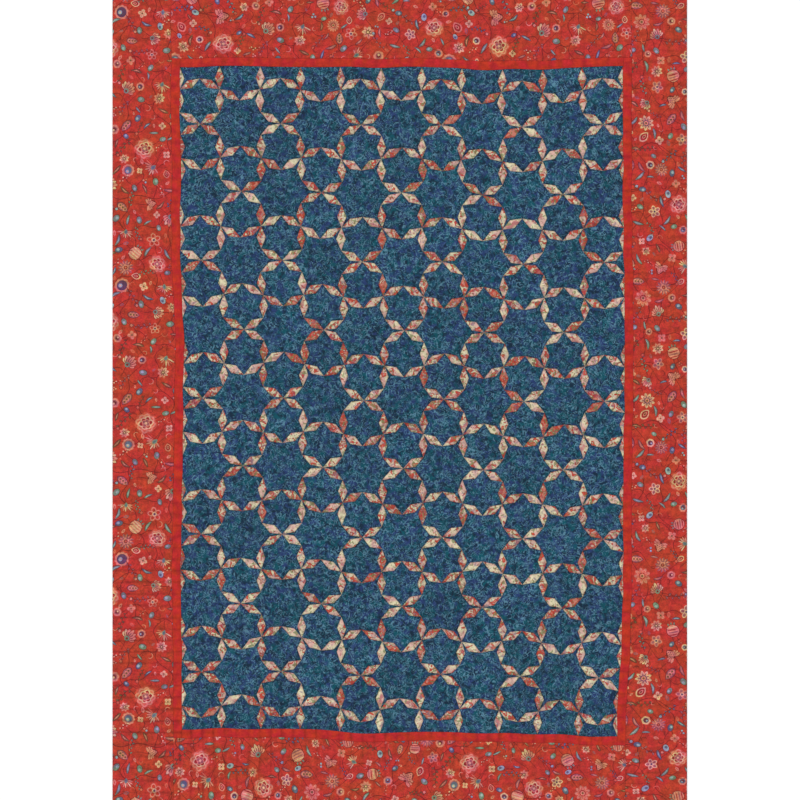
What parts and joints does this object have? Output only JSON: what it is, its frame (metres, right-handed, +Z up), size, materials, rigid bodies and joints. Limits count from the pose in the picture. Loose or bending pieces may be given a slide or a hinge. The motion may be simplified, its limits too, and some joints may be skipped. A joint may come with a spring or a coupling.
{
  "type": "patchwork quilt",
  "caption": "Flat lying patchwork quilt: blue star and hexagon centre with pale diamond scraps, plain red strips and wide red flower print borders with cross quilting.",
  "frame": {"origin": "on the surface that the quilt lies on, under the middle of its outline", "axes": "+X across the quilt, +Y along its length, +Z up out of its face"},
  "size_m": [1.27, 1.78, 0.005],
  "materials": {
    "patchwork": "matt printed cotton",
    "plain_strip": "matt plain cotton",
    "flower_print": "matt printed cotton"
  },
  "bodies": {
    "root": {"centre_panel": "patchwork", "strip_left": "plain_strip", "strip_right": "plain_strip", "strip_top": "plain_strip", "strip_bottom": "plain_strip", "border_left": "flower_print", "border_right": "flower_print", "border_top": "flower_print", "border_bottom": "flower_print"}
  },
  "joints": []
}
